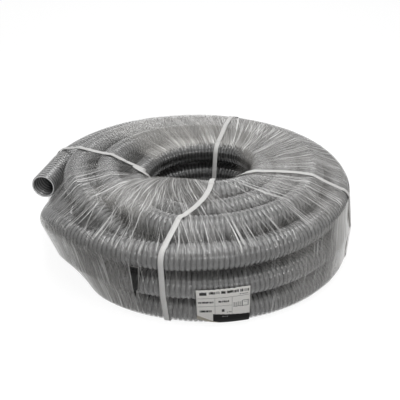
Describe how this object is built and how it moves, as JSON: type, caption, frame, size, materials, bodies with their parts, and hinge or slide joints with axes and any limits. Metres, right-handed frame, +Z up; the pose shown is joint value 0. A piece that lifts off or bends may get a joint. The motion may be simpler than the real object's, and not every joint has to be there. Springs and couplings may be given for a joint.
{
  "type": "wrapped hose coil",
  "caption": "Coil of grey ribbed drain hose with an open mouth at the side, held by flat packing straps and clear stretch film, with a paper label low on the front.",
  "frame": {"origin": "middle of the whole part's box, on the surface that the bundle stands on", "axes": "+Z up along the winding's axis, -Y towards the label, -X towards the open mouth"},
  "size_m": [0.6086, 0.6, 0.1933],
  "materials": {
    "hose": "grey flexible PVC with a satin sheen, ribbed",
    "film": "clear stretch film, glossy, hazy along its radial creases",
    "strap": "white polypropylene packing strap, satin",
    "label": "matt off-white paper"
  },
  "bodies": {
    "root": {"hose_coil": "hose", "hose_end": "hose", "film_wrap": "film", "strap_front": "strap", "strap_right": "strap", "strap_back": "strap", "strap_left": "strap", "strap_laps": "strap", "label": "label"}
  },
  "joints": []
}
